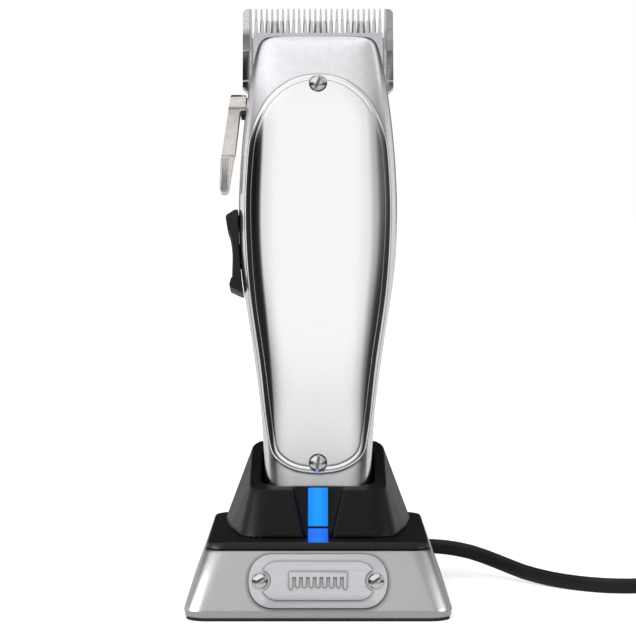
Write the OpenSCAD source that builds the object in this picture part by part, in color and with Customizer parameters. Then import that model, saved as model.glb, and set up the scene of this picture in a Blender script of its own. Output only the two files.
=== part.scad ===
// Hair clipper standing in its charging stand, with the stand's flat lead and plug-in power supply.
// Millimetres. +Z is up and -Y is the front. The origin is the middle of the stand's non-slip pad,
// on the surface that it stands on. The clipper has a frame of its own, which leans back in the
// stand: X across it, Y from its cover to its back, Z from its tail to its blade tips.

/* [Stand] */
// Width of the stand's foot
foot_w = 81; // [80:0.5:83]
// Depth of the stand's foot
foot_d = 82; // [81:0.5:84]
// Height of the metal base above its pad
base_h = 19.5; // [19:0.1:20]
// Slope of the base's four sides from vertical, in degrees
base_slope = 19.8; // [19:0.1:20.4]
// Wall of the metal base
base_wall = 2.2; // [1.8:0.1:2.6]
// Thickness of the black deck on top of the base
deck_t = 2.2; // [2:0.1:2.6]
// Thickness of the non-slip pad
pad_t = 0.8; // [0.6:0.1:1.2]

/* [Cradle] */
// How far the clipper leans back, in degrees
lean = 13; // [11:0.5:14]
// Height of the cradle's rim at the front, above the table
rim_front = 36.3; // [36:0.1:37]
// Height of the cradle's rim at the back, above the table
rim_back = 47.3; // [46:0.1:48.5]
// Space between the clipper's tail and the pocket round it
pocket_gap = 0.7; // [0.6:0.1:0.9]

/* [Clipper] */
// Wall of the cast housing
wall = 2.2; // [1.8:0.1:2.4]
// How far the front cover stands proud of the housing
cover_proud = 0.9; // [0.6:0.1:1.2]
// Thickness of the front cover
cover_t = 2; // [1.6:0.1:2.2]
// Diameter of the slotted screw heads on the cover
screw_head = 5.4; // [4.8:0.1:5.8]

/* [Blades] */
// Width of the fixed comb blade
comb_w = 48.4; // [48:0.1:49]
// Teeth of the comb blade between its two flanges
comb_teeth = 24; // [20:1:26]
// Teeth of the cutter
cutter_teeth = 21; // [17:1:22]
// How far the taper lever draws the comb blade back
taper_travel = 2.2; // [1.8:0.1:2.3]
// Stroke of the cutter to each side
stroke = 1.2; // [0.8:0.1:1.2]

/* [Controls] */
// Swing of the taper lever, in degrees
lever_swing = 50; // [40:1:50]
// Travel of the power switch
switch_travel = 4; // [3:0.5:4]
// Travel of the sprung charging pins
pin_travel = 1.2; // [0.8:0.1:1.2]

/* [Lead] */
// Width of the flat lead, which stands on edge
lead_w = 4.8; // [4.4:0.1:5]
// Thickness of the flat lead
lead_t = 3.2; // [2.8:0.1:3.4]
// Turns in each of the coil's two layers
coil_turns = 5; // [4:1:5]

/* [Hidden] */
$fn = 48;
eps = 0.01;
play = 0.1;

silver = [0.78, 0.78, 0.79];
chrome = [0.9, 0.9, 0.91];
black = [0.12, 0.12, 0.13];
steel = [0.6, 0.6, 0.62];
nickel = [0.8, 0.77, 0.73];
blue = [0.1, 0.6, 1];
copper = [0.75, 0.5, 0.3];
brass = [0.8, 0.68, 0.35];
green = [0.1, 0.35, 0.2];

// ---- Shapes that repeat ----

// Row of a table, sorted by its first column, that holds height w
function row_at(t, w, i = 0) = (i >= len(t) - 2 || w <= t[i + 1][0]) ? i : row_at(t, w, i + 1);
function tangent(t, i, k) =
    let (a = max(i - 1, 0), b = min(i + 1, len(t) - 1))
    (t[b][k] - t[a][k]) / (t[b][0] - t[a][0]);
// Column k of a table at height w, on a smooth curve through its rows
function smooth(t, w, k) =
    let (i = row_at(t, w), h = t[i + 1][0] - t[i][0], s = (w - t[i][0]) / h)
    (2 * s ^ 3 - 3 * s ^ 2 + 1) * t[i][k] + (s ^ 3 - 2 * s ^ 2 + s) * h * tangent(t, i, k)
    + (3 * s ^ 2 - 2 * s ^ 3) * t[i + 1][k] + (s ^ 3 - s ^ 2) * h * tangent(t, i + 1, k);

// Smooth path through points, with some steps between each two
function between(p, i, s) =
    let (n = len(p) - 1, a = p[max(i - 1, 0)], b = p[i], c = p[min(i + 1, n)], d = p[min(i + 2, n)])
    0.5 * (2 * b + (c - a) * s + (2 * a - 5 * b + 4 * c - d) * s ^ 2 + (3 * b - a - 3 * c + d) * s ^ 3);
function smooth_path(p, steps) =
    concat([for (i = [0 : len(p) - 2], j = [0 : steps - 1]) between(p, i, j / steps)], [p[len(p) - 1]]);

function mirrored(p) = [for (i = [len(p) - 2 : -1 : 1]) [-p[i][0], p[i][1]]];

// Squarish oval: half-width a, front depth f, back depth b. A plain oval has a fullness of 2.
function power(x, n) = sign(x) * pow(abs(x), n);
function oval(a, f, b, fullness = 3.6, count = 40) = [
    for (i = [0 : count - 1])
        let (c = cos(360 * i / count), s = sin(360 * i / count))
        [a * power(c, 2 / fullness), (s < 0 ? f : b) * power(s, 2 / fullness)]
];

// Closed skin over rings of points, which all have the same number of points
module skin(rings) {
    m = len(rings[0]);
    n = len(rings);
    points = [for (r = rings, p = r) p];
    sides = [
        for (i = [0 : n - 2], j = [0 : m - 1])
            let (k = (j + 1) % m, a = i * m + j, b = i * m + k, c = a + m, d = b + m)
            each [[a, c, b], [b, c, d]]
    ];
    ends = [[for (j = [0 : m - 1]) j], [for (j = [m - 1 : -1 : 0]) (n - 1) * m + j]];
    polyhedron(points, concat(ends, sides));
}

// Tube of oval section, tall axis upright, along a route
module tube(route, wide, tall, sides = 10) {
    n = len(route) - 1;
    skin([
        for (i = [0 : n])
            let (
                run = route[min(i + 1, n)] - route[max(i - 1, 0)],
                along = run / norm(run),
                flat = cross(along, [0, 0, 1]),
                side = flat / norm(flat),
                up = cross(side, along)
            )
            [for (j = [0 : sides - 1])
                route[i] + side * wide / 2 * cos(360 * j / sides) + up * tall / 2 * sin(360 * j / sides)]
    ]);
}

// Rectangle with rounded corners, in the middle
module rounded(w, d, r) {
    square([w - 2 * r, d], center = true);
    square([w, d - 2 * r], center = true);
    for (x = [-1, 1], y = [-1, 1])
        translate([x * (w / 2 - r), y * (d / 2 - r)]) circle(r);
}
module rounded_plate(w, d, r, h) linear_extrude(h) rounded(w, d, r);

// Domed screw head with a slot, on the plane z = 0, and its shank below
module slotted_screw(head, dome, shank, length, turn) {
    ball = (head ^ 2 / 4 + dome ^ 2) / (2 * dome);
    difference() {
        union() {
            intersection() {
                translate([0, 0, dome - ball]) sphere(ball);
                cylinder(d = head, h = dome + 1);
            }
            translate([0, 0, -length]) cylinder(d = shank, h = length + eps);
        }
        rotate(turn) translate([-head, -head / 14, dome * 0.35]) cube([2 * head, head / 7, dome]);
    }
}

// Points a child's Z towards the front
module facing_front() rotate([90, 0, 0]) children();

// Points a child's Z to the left
module facing_left() rotate([0, -90, 0]) children();

// ---- Where things are ----

base_top = pad_t + base_h;
deck_top = base_top + deck_t;
taper_in = base_h * tan(base_slope);
top_w = foot_w - 2 * taper_in;
top_d = foot_d - 2 * taper_in;

seat_y = -5.7;
seat_z = 23.5;
module in_clipper() translate([0, seat_y, seat_z]) rotate([-lean, 0, 0]) children();

// The housing at heights above its tail: half-width, front depth, back depth and fullness
BODY = [
    [0, 15.0, 12.0, 12.0, 5], [12, 16.0, 13.0, 13.2, 4.6], [35, 17.6, 14.2, 15.0, 3.8],
    [58, 20.7, 15.2, 16.2, 3.3], [80, 24.0, 15.8, 17.2, 3], [98, 24.8, 16.2, 17.8, 3],
    [118, 24.0, 16.0, 18.0, 3.1], [136, 22.0, 14.6, 17.0, 3.6], [145, 20.4, 12.7, 15.6, 4.4],
    [149.6, 19.3, 11.4, 14.6, 5], [151.8, 18.4, 10.5, 13.8, 5.4], [152.7, 17.6, 9.8, 13.2, 5.4]
];
body_top = 152.7;
STATIONS = [
    0, 4, 8, 12, 20, 28, 35, 43, 50, 58, 66, 73, 80, 89, 98, 108, 118, 127, 136, 141, 145, 149.6, 151.2, 151.8
];

function body_ring(w, grow) =
    [for (p = oval(smooth(BODY, w, 1) + grow, smooth(BODY, w, 2) + grow, smooth(BODY, w, 3) + grow,
                   smooth(BODY, w, 4)))
        [p[0], p[1], w]];

// The housing's outer form, grown or shrunk, carried past either end if wanted
module body_form(grow = 0, low = 0, high = body_top) {
    inner = [for (w = STATIONS) if (w > low && w < high) body_ring(w, grow)];
    first = [for (p = body_ring(max(low, 0), grow)) [p[0], p[1], low]];
    last = [for (p = body_ring(min(high, body_top), grow)) [p[0], p[1], high]];
    skin(concat([first], inner, [last]));
}

// Right half of the front cover's outline, from its top to its bottom
COVER = [
    [0, 139.1], [4.5, 138.5], [8.3, 137.2], [11.3, 135.4], [13.8, 133.4], [16, 131], [18, 127.8],
    [19.7, 124.3], [21.2, 119.5], [22.1, 112], [22.7, 99], [22.3, 84], [20.9, 67], [18.4, 50],
    [16.5, 35], [15.3, 27], [14, 21], [10.8, 17.4], [6, 15.2], [0, 14.5]
];
cover_depth = 6.2;
module cover_outline() {
    right = smooth_path(COVER, 2);
    polygon(concat(right, mirrored(right)));
}
screw_high = 135.9;
screw_low = 17.7;

comb_back = 139;
comb_inner = 8.8;
cutter_low = 146.8;
cutter_tip = 163;
cutter_inner = 5.5;
carrier_in = cutter_inner - 0.03;
peg_z = 148.6;

pivot_y = 1;
pivot_z = 132;
cam_throw = taper_travel / 2 / sin(lever_swing / 2);
cam_r = 3.6;
shaft_r = 2.2;

motor_y = 1;
motor_low = 93;
motor_high = 118;
crank_high = 131;
pin_r = 1.2;
switch_z = 85;

// ---- Stand ----

// Four-sided form with sloping sides, whose foot is chamfered
module base_form(shrink, low, high) {
    chamfer = 1;
    function inset(z) = 2 * ((z - pad_t) * tan(base_slope) + shrink);
    hull() {
        for (z = [max(low, pad_t + 2.2), high - eps])
            translate([0, 0, z])
                linear_extrude(eps) rounded(foot_w - inset(z), foot_d - inset(z), 7 - shrink / 2, $fn = 32);
        translate([0, 0, low])
            linear_extrude(eps)
                rounded(foot_w - inset(pad_t) - 2 * chamfer, foot_d - inset(pad_t) - 2 * chamfer, 6 - shrink / 2, $fn = 32);
    }
}

// Places a child on the sloping front face, X across and Z up it, its -Y outwards
plate_z = 11.4;
module on_front_face()
    translate([0, -foot_d / 2 + (plate_z - pad_t) * tan(base_slope), plate_z]) rotate([-base_slope, 0, 0]) children();

tub_w = 41;
tub_front = -19;
tub_back = 12.8;
module tub_hole(low, high)
    translate([-tub_w / 2, tub_front, low]) cube([tub_w, tub_back - tub_front, high - low]);

post_x = 27;
post_y = 27;
module at_posts() for (x = [-post_x, post_x], y = [-post_y, post_y]) translate([x, y, 0]) children();

plate_screw_x = 17.1;
module at_nameplate_screws() for (x = [-plate_screw_x, plate_screw_x]) translate([x, 0, 0]) children();

jack_x = 7;
jack_z = 9.6;
jack_r = 4.5;

module base_shell() color(silver) {
    difference() {
        base_form(0, pad_t, base_top);
        base_form(base_wall, pad_t - 1, base_top - base_wall);
        tub_hole(base_top - base_wall - 1, base_top + 1);
        on_front_face() at_nameplate_screws() translate([0, 5, 0]) facing_front() cylinder(r = 1.1, h = 10);
        translate([jack_x, foot_d / 2 + 2, jack_z]) facing_front() cylinder(r = jack_r + play, h = 12);
        translate([0, -24.6, base_top - 5]) cylinder(r = 2.6, h = 10);
    }
    at_posts()
        difference() {
            translate([0, 0, pad_t + 2.4]) cylinder(r = 3, h = base_top - base_wall - pad_t - 2.3);
            translate([0, 0, pad_t]) cylinder(r = 1, h = 10);
        }
}

module top_deck() color(black)
    difference() {
        hull() {
            translate([0, 0, base_top + eps])
                linear_extrude(eps) rounded(top_w, top_d, 6.5, $fn = 32);
            translate([0, 0, deck_top - 0.5])
                linear_extrude(eps) rounded(top_w - 1.8, top_d - 1.8, 6, $fn = 32);
            translate([0, 0, deck_top - eps])
                linear_extrude(eps) rounded(top_w - 2.6, top_d - 2.6, 5.6, $fn = 32);
        }
        tub_hole(base_top - 1, deck_top + 1);
        translate([0, -24.6, base_top - 1]) cylinder(r = 2.6, h = 10);
        foot_recess();
    }

rim_front_y = -20.6;
rim_back_y = 20.5;
rim_half = 20.5;
rim_slope = (rim_back - rim_front) / (rim_back_y - rim_front_y);

module cradle_foot()
    hull() {
        for (x = [-1, 1]) {
            translate([x * 15.3, -16.7]) circle(9, $fn = 32);
            translate([x * 16.6, -1]) circle(11, $fn = 32);
            translate([x * 17.2, 15.5]) circle(12, $fn = 32);
        }
    }

// Cradle body: a sloping cone of rounded plan, whose rim rises to the back
module cradle_form() {
    rim_mid = (rim_front_y + rim_back_y) / 2;
    hull() {
        translate([0, 0, deck_top]) linear_extrude(eps) cradle_foot();
        multmatrix([
            [1, 0, 0, 0], [0, 1, 0, rim_mid],
            [0, rim_slope, 1, rim_front + (rim_mid - rim_front_y) * rim_slope - eps]
        ])
            linear_extrude(eps) rounded(2 * rim_half, rim_back_y - rim_front_y, 6, $fn = 32);
    }
}

// The pocket for the clipper's tail, in the clipper's frame
pocket_floor = -1.6;
pocket_half = 16.6 + pocket_gap;
pocket_front = 12.8 + pocket_gap;
pocket_back = 14.1 + pocket_gap;
module pocket_form(grow, low, high)
    in_clipper()
        translate([0, (pocket_back - pocket_front) / 2, low])
            rounded_plate(2 * (pocket_half + grow), pocket_front + pocket_back + 2 * grow, 5 + grow, high - low);

// The channel down the cradle's front, which the light bar lies in
front_slope = atan((-20.6 + 25.7) / (rim_front - deck_top));
channel_depth = 2.8;
module in_channel()
    translate([0, -25.7 + channel_depth / cos(front_slope), deck_top]) rotate([-front_slope, 0, 0]) children();
channel_h = (rim_front - deck_top) / cos(front_slope);

module cradle() color(black)
    difference() {
        union() {
            cradle_form();
            intersection() {
                pocket_form(2, pocket_floor - 2, 6);
                translate([-30, -18.6, base_top - 4]) cube([60, 31, deck_t + 6]);
            }
        }
        pocket_form(0, pocket_floor, 60);
        in_channel()
            translate([0, 0, -2])
                rotate([90, 0, 0])
                    linear_extrude(12)
                        polygon([[-4, 0], [4, 0], [7.6, channel_h + 2], [8.4, channel_h + 6],
                            [-8.4, channel_h + 6], [-7.6, channel_h + 2]]);
        in_clipper() at_pins() translate([0, 0, pocket_floor - 4]) cylinder(r = 1, h = 6);
    }

bar_half = 3;
module light_bar() color(blue)
    in_channel()
        translate([-bar_half, -1.5, 3.2]) cube([2 * bar_half, 1.48, channel_h - 3.1]);

module foot_recess()
    translate([-bar_half - play, -33, deck_top - 0.8]) cube([2 * (bar_half + play), 12, 2]);

module light_foot() color(blue)
    union() {
        translate([-bar_half, -32.8, deck_top - 0.78]) cube([2 * bar_half, 9.9, 0.8]);
        in_channel() translate([-bar_half, -1.5, -0.6]) cube([2 * bar_half, 1.48, 2.9]);
    }

// Long oval plate, its ends fuller than half circles
module badge(w, h, t) {
    n = 2.2;
    end = h * 0.46;
    half = [
        for (a = [-90 : 7.5 : 90])
            [w / 2 - end + end * power(cos(a), 2 / n), h / 2 * power(sin(a), 2 / n)]
    ];
    facing_front()
        linear_extrude(t) polygon(concat(half, [for (i = [len(half) - 1 : -1 : 0]) [-half[i][0], half[i][1]]]));
}

module nameplate() color(chrome)
    on_front_face()
        difference() {
            union() {
                translate([0, -play / 2, 0]) badge(40.8, 16, 0.9);
                difference() {
                    translate([0, -0.5, 0]) badge(33.6, 11.4, 1);
                    at_nameplate_screws() facing_front() cylinder(r = 3.3, h = 4);
                }
                emblem();
            }
            at_nameplate_screws() translate([0, 1, 0]) facing_front() cylinder(r = 1.15, h = 6);
        }

// Raised comb mark: a spine with seven teeth between two end bars
module emblem()
    translate([0, -1.4, 0]) {
        translate([-8.5, -0.5, 1]) cube([17, 0.6, 1.5]);
        for (i = [-4 : 4])
            translate([i * 2 - 0.45, -0.5, abs(i) == 4 ? -2.5 : -2]) cube([0.9, 0.6, 3.6]);
    }

module nameplate_screws() color(chrome)
    on_front_face()
        for (s = [-1, 1])
            translate([s * plate_screw_x, -0.95, 0]) facing_front() slotted_screw(4.7, 1.1, 2, 6, s > 0 ? 35 : 28);

module base_plate() color(black)
    difference() {
        translate([0, 0, pad_t]) rounded_plate(foot_w - 8, foot_d - 8, 5, 1.8);
        at_posts() {
            cylinder(r = 1.3, h = 8);
            translate([0, 0, pad_t - eps]) cylinder(r = 2.3, h = 1);
        }
    }

module base_plate_screws() color(steel)
    at_posts() {
        translate([0, 0, pad_t + 0.02]) cylinder(r = 2.2, h = 0.9);
        translate([0, 0, pad_t + 0.5]) cylinder(r = 0.95, h = 8);
    }

module nonslip_pad() color(black)
    rounded_plate(foot_w - 3, foot_d - 3, 6, pad_t - 0.02);

board_z = 8;
module charge_board() color(green)
    union() {
        translate([-20, -14, board_z]) cube([40, 34, 1.6]);
        translate([-15, -8, board_z + 1.5]) cube([8, 8, 2]);
        translate([8, 2, board_z + 1.5]) cylinder(r = 3, h = 4.5);
        translate([-4, 10, board_z + 1.5]) cube([7, 5, 1.4]);
        for (x = [-16, 16]) translate([x, -10, pad_t + 1.8]) cylinder(r = 2, h = board_z - pad_t - 1.7);
    }

module light_source() color([0.85, 0.9, 1])
    translate([0, -24.6, base_top - 3.4]) {
        cylinder(r = 2.4, h = 4.6);
        translate([0, 0, -0.8]) cylinder(r = 2.9, h = 0.9);
    }

// ---- Charging pins, in the clipper's frame ----

pin_x = 5.5;
pin_y = -1.5;
pin_tip = -0.35;
module at_pins() for (x = [-pin_x, pin_x]) translate([x, pin_y, 0]) children();

module pin_block() color(black)
    in_clipper()
        difference() {
            translate([-9, pin_y - 3, -9.6]) cube([18, 6, 9.6 + pocket_floor - 2.05]);
            at_pins() {
                translate([0, 0, -8.6]) cylinder(r = 1.45, h = 12);
            }
        }

module charge_pin(side) color(brass)
    in_clipper()
        translate([side * pin_x, pin_y, 0]) {
            translate([0, 0, pin_tip - 0.5]) cylinder(r1 = 0.9, r2 = 0.6, h = 0.5);
            translate([0, 0, -5]) cylinder(r = 0.9, h = 4.5 + pin_tip);
            translate([0, 0, -5]) cylinder(r = 1.3, h = 1);
        }

// Coil spring that stands under a pin
module pin_spring(side) color(steel) {
    turns = 4;
    step = 45;
    low = -8.35;
    high = -5.25;
    wire = 0.14;
    in_clipper()
        translate([side * pin_x, pin_y, 0])
            skin([
                for (a = [0 : step : 360 * turns])
                    let (z = low + (high - low) * a / 360 / turns)
                    [for (j = [0 : 5])
                        let (r = 0.95 + wire * cos(60 * j))
                        [r * cos(a), r * sin(a), z + wire * sin(60 * j)]]
            ]);
}

// ---- Lead and power supply ----

module inlet_jack() color(black)
    translate([jack_x, foot_d / 2 - 2.4, jack_z])
        facing_front()
            difference() {
                cylinder(r = jack_r, h = 12);
                translate([0, 0, -1]) cylinder(r = 2.85, h = 11);
            }

plug_y = 43;
module lead_plug() color(black) {
    translate([jack_x, plug_y + 3.6, jack_z])
        facing_front() {
            cylinder(r = 4.4, h = 7.6);
            cylinder(r = 2.75, h = 16);
        }
    translate([jack_x, plug_y, jack_z]) rotate([0, 90, 0]) cylinder(r = 3.6, h = 9);
}

relief_start = 16.05;
lead_exit = 36;
module lead_relief() color(black)
    translate([relief_start, plug_y, jack_z])
        rotate([0, 90, 0])
            difference() {
                cylinder(r1 = 3.3, r2 = 2.65, h = lead_exit - relief_start);
                for (i = [0 : 6])
                    translate([0, 0, 2.4 + i * 2.4])
                        difference() {
                            cylinder(r = 5, h = 0.9);
                            translate([0, 0, -1]) cylinder(r = 2.45, h = 3);
                        }
            }

// The lead leaves the plug to the right, comes down to the table and runs on to the coil
coil_x = 148;
coil_y = -4.5;
coil_r = 35.5;
coil_pitch = 3.3;
LEAD = [
    [36, 43, 9.6], [42, 43, 9.2], [50, 41.4, 7.9], [58, 36.4, 5.7], [66, 28.8, 3.5], [74, 20.4, 2.6],
    [82, 13.4, 2.4], [90, 9, 2.4], [98, 8, 2.4], [105, 10.4, 2.4], [112, 15.6, 2.4],
    [119, 21.8, 2.4], [126, 27.2, 2.4], [134, 30.3, 2.4]
];
LEAD_END = [
    [160, 31.2, 7.2], [166, 30.8, 6.4], [172, 29.6, 5.4], [179, 28, 4.7], [186, 27.4, 4.6]
];

module lead_cord() color(black) tube(smooth_path(LEAD, 2), lead_t, lead_w);

module lead_coil() color(black) {
    inner = coil_r - (coil_turns - 0.5) * coil_pitch - lead_t / 2;
    outer = coil_r + lead_t / 2;
    translate([coil_x, coil_y, 0])
        rotate_extrude() translate([inner, eps]) square([outer - inner, 2 * lead_w + 0.2]);
}

module lead_cord_end() color(black) tube(smooth_path(LEAD_END, 2), lead_t, lead_w);

adapter_x = 206;
adapter_y = 27.4;
relief_end = 186;
module adapter_relief() color(black)
    translate([relief_end, adapter_y, 4.6])
        rotate([0, 90, 0]) cylinder(r1 = 2.6, r2 = 3.8, h = adapter_x - relief_end);

module adapter_case() color(black)
    translate([adapter_x + 28, adapter_y - 12, 0]) {
        rounded_plate(56, 42, 5, 25);
        translate([0, 0, 25 - eps]) rounded_plate(53, 39, 4, 2);
    }

module adapter_prongs() color(brass)
    for (y = [-6.35, 6.35])
        translate([adapter_x + 36, adapter_y - 12 + y, 27])
            difference() {
                translate([-3.2, -0.75, 0]) cube([6.4, 1.5, 16]);
                translate([0, 2, 12.5]) rotate([90, 0, 0]) cylinder(r = 1.6, h = 4);
            }

// ---- Clipper: casing ----

module housing() color(silver)
    in_clipper() {
        difference() {
            body_form();
            body_form(-wall, -1, body_top - wall);
            translate([0, -cover_depth + 0.2, 0])
                facing_front() linear_extrude(30) offset(0.15) cover_outline();
            translate([-40, comb_inner - 0.2, 136.4]) cube([80, 40, 40]);
            translate([-40, cutter_inner - 0.3, cutter_low - 0.5]) cube([80, 40, 40]);
            translate([-17, pivot_y, pivot_z]) facing_left() cylinder(r = 3.55, h = 20);
            translate([-22.6, pivot_y, pivot_z]) facing_left() cylinder(r = 4.7, h = 20);
            translate([-30, -2, switch_z - 8.8]) cube([12, 4, 11.8]);
        }
        // Post for the cover's lower screw
        difference() {
            translate([0, 13.2, screw_low]) facing_front() cylinder(r = 3.4, h = 23.6);
            translate([0, 0, screw_low]) facing_front() cylinder(r = 1.3, h = 20);
        }
        // Bridge for the cover's upper screw
        difference() {
            translate([-17.8, -10.6, screw_high - 3.5]) cube([35.6, 3.8, 6]);
            translate([0, 0, screw_high]) facing_front() cylinder(r = 1.3, h = 20);
        }
    }

module cover_spot(z, depth)
    translate([0, -depth, z]) facing_front() cylinder(d = screw_head + 0.2, h = 10);

module front_cover() color(chrome)
    in_clipper()
        difference() {
            union() {
                difference() {
                    intersection() {
                        body_form(cover_proud);
                        translate([0, -cover_depth, 0]) facing_front() linear_extrude(30) cover_outline();
                    }
                    body_form(cover_proud - cover_t, -1, body_top + 1);
                }
                translate([0, -10.7, screw_high]) facing_front() cylinder(r = 3, h = 3.4);
                translate([0, -10.5, screw_low]) facing_front() cylinder(r = 3, h = 2.2);
            }
            for (z = [screw_high, screw_low]) {
                translate([0, 0, z]) facing_front() cylinder(r = 1.4, h = 30);
            }
            cover_spot(screw_high, 15.2);
            cover_spot(screw_low, 13.9);
        }

module cover_screw(z, depth, turn)
    in_clipper()
        translate([0, -depth, z]) facing_front() slotted_screw(screw_head, 1.3, 2.5, 7, turn);

module cover_screw_top() color(chrome) cover_screw(screw_high, 15.25, 68);
module cover_screw_bottom() color(chrome) cover_screw(screw_low, 13.95, 82);

jack_y = 6;
module tail_cap() color(black)
    in_clipper()
        difference() {
            union() {
                translate([0, 0, -1.5]) linear_extrude(1.5 - eps) polygon(oval(14.6, 11.6, 11.6, 5, 64));
                translate([0, 0, -0.5]) linear_extrude(5) polygon(oval(12.4, 9.4, 9.4, 5, 64));
            }
            at_pins() {
                translate([0, 0, -3]) cylinder(r = 2.2, h = 3.5);
            }
            translate([0, jack_y, -3]) cylinder(r = 3.05, h = 10);
        }

module contact_pads() color(brass)
    in_clipper() at_pins() translate([0, 0, -0.3]) cylinder(r = 2.15, h = 0.78);

module power_jack() color(steel)
    in_clipper()
        translate([0, jack_y, -1.5]) {
            difference() {
                cylinder(r = 3, h = 9);
                translate([0, 0, -1]) cylinder(r = 2.75, h = 9);
            }
            cylinder(r = 1, h = 8.5);
        }

// ---- Clipper: power ----

cell_low = 24;
cell_len = 65;
cell_r = 9.1;
module battery_cell() color([0.25, 0.45, 0.75])
    in_clipper()
        translate([0, motor_y, cell_low]) {
            cylinder(r = cell_r, h = cell_len - 1.2);
            cylinder(r = 3, h = cell_len - 0.2);
        }

module cell_holder() color(black)
    in_clipper() {
        difference() {
            union() {
                translate([0, 0, 21.2]) linear_extrude(2.6) polygon(oval(13.6, 10.4, 11.2));
                translate([0, 0, 89.2]) linear_extrude(2) polygon(oval(21.4, 13, 14.6));
            }
            translate([0, motor_y, 15]) cylinder(r = 4, h = 90);
            translate([-30, -4.8, 88]) cube([19.2, 9.6, 6]);
        }
        for (x = [-12, 10]) translate([x, 6, 23]) cube([2, 2.4, 67]);
    }

module control_board() color(green)
    in_clipper() {
        translate([-9.5, -10.1, 28]) cube([19, 1.2, 56]);
        translate([-5, -11, 36]) cube([9, 1, 7]);
        translate([-4, -11, 52]) cube([5, 1, 5]);
        translate([1.5, -11, 66]) cube([4, 1, 8]);
    }

module switch_unit() color(black)
    in_clipper()
        difference() {
            translate([-16.6, -3.2, switch_z - 9]) cube([4.4, 6.4, 16]);
            translate([-17, -1.3, switch_z - 7.2]) cube([2, 2.6, 7.2]);
        }

// ---- Clipper: motor ----

module at_motor() in_clipper() translate([0, motor_y, 0]) children();

module motor_can() color(steel)
    at_motor()
        difference() {
            translate([0, 0, motor_low]) cylinder(r = 12, h = motor_high - motor_low);
            translate([0, 0, motor_low - 1]) cylinder(r = 10.9, h = motor_high - motor_low);
            cylinder(r = 3.05, h = 140);
        }

module motor_end_bell() color(black)
    at_motor()
        difference() {
            union() {
                translate([0, 0, motor_low - 1.4]) cylinder(r = 12, h = 1.35);
                translate([0, 0, motor_low - 1]) cylinder(r = 10.8, h = 2.2);
            }
            cylinder(r = 1.05, h = 140);
        }

module motor_magnets() color([0.3, 0.3, 0.32])
    at_motor()
        difference() {
            translate([0, 0, 97]) cylinder(r = 10.8, h = 16);
            translate([0, 0, 96]) cylinder(r = 8.8, h = 18);
            translate([-2, -15, 96]) cube([4, 30, 18]);
        }

module motor_bush() color(brass)
    at_motor()
        difference() {
            translate([0, 0, 116]) cylinder(r = 3, h = 5);
            cylinder(r = 1.05, h = 140);
        }

module motor_shaft() color(steel) at_motor() translate([0, 0, 91.8]) cylinder(r = 1, h = 38);

module rotor_core() color(copper)
    at_motor()
        difference() {
            translate([0, 0, 98]) cylinder(r = 8.3, h = 14);
            translate([0, 0, 97]) cylinder(r = 1.03, h = 16);
            for (a = [0, 120, 240]) rotate(a) translate([3.5, -0.9, 97]) cube([8, 1.8, 16]);
        }

module commutator() color(brass)
    at_motor()
        difference() {
            translate([0, 0, 94.6]) cylinder(r = 2.6, h = 3);
            translate([0, 0, 94]) cylinder(r = 1.03, h = 5);
        }

module crank() color(steel)
    at_motor()
        difference() {
            union() {
                translate([0, 0, 125]) cylinder(r = 3.5, h = crank_high - 125);
                translate([stroke, 0, crank_high - eps]) cylinder(r = pin_r, h = 12);
            }
            translate([0, 0, 124]) cylinder(r = 1.03, h = 5.9);
        }

// ---- Clipper: blades ----

// Side profile of the comb blade, [y, z]: a stepped inner face, and an outer face that thins to the tips
COMB_PROFILE = [
    [8.8, 139.4], [9.6, 138.6], [13.2, 138.6], [13.6, 139.2], [13.6, 151], [13, 155.6], [9.7, 167.1],
    [9.3, 167.4], [8.95, 167.3], [8.8, 166.9]
];
FLANGE_STEPS = [
    [8.6, 160.3], [8.35, 160.2], [7.9, 153.5], [8.6, 153.1], [8.45, 143.6], [8.75, 143.1], [8.7, 140]
];

// One gap between two teeth, its root rounded
module gap(root, tip, low, high, floor_y, roof_y)
    translate([0, roof_y, 0]) facing_front()
        linear_extrude(roof_y - floor_y) {
            polygon([[-root / 2, low], [root / 2, low], [tip / 2, high], [-tip / 2, high]]);
            translate([0, low]) circle(root / 2, $fn = 24);
        }

module comb_blade() color(steel) {
    pitch = (comb_w - 5) / (comb_teeth + 1);
    step_w = 2.1;
    lean_out = 0.42;
    in_clipper()
        difference() {
            union() {
                translate([step_w - comb_w / 2, 0, 0])
                    rotate([90, 0, 90]) linear_extrude(comb_w - 2 * step_w) polygon(COMB_PROFILE);
                // Flanges, whose stepped faces turn a little outwards
                for (s = [-1, 1])
                    multmatrix([
                        [1, 0, 0, 0], [s * lean_out, 1, 0, -lean_out * (comb_w / 2 - step_w)], [0, 0, 1, 0]
                    ])
                        translate([s * (comb_w - step_w) / 2 - step_w / 2 - eps, 0, 0])
                            rotate([90, 0, 90])
                                linear_extrude(step_w + 2 * eps)
                                    polygon(concat(
                                        [[9.6, 138.6], [12.6, 138.6], [12.6, 155.2], [9.6, 166.6],
                                            [9.2, 167.3], [8.7, 167.2]],
                                        FLANGE_STEPS
                                    ));
            }
            for (i = [0 : comb_teeth])
                translate([(i - comb_teeth / 2) * pitch, 0, 0]) gap(0.7, 1.22, 157.8, 168.4, 7, 15);
            for (x = [-9.5, 9.5]) {
                translate([x, 20, 142.3]) facing_front() cylinder(r = 1.6, h = 20);
                translate([x, 20, 142.3]) facing_front() cylinder(r = 3, h = 20 - 12.2);
            }
            for (s = [-1, 1])
                translate([s * comb_w / 2, 0, 138.4]) rotate([0, 45, 0]) cube([4.2, 40, 4.2], center = true);
            for (s = [-1, 1])
                translate([s * comb_w / 2, 0, 167.6]) rotate([0, 45, 0]) cube([1.8, 40, 1.8], center = true);
        }
}

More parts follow.
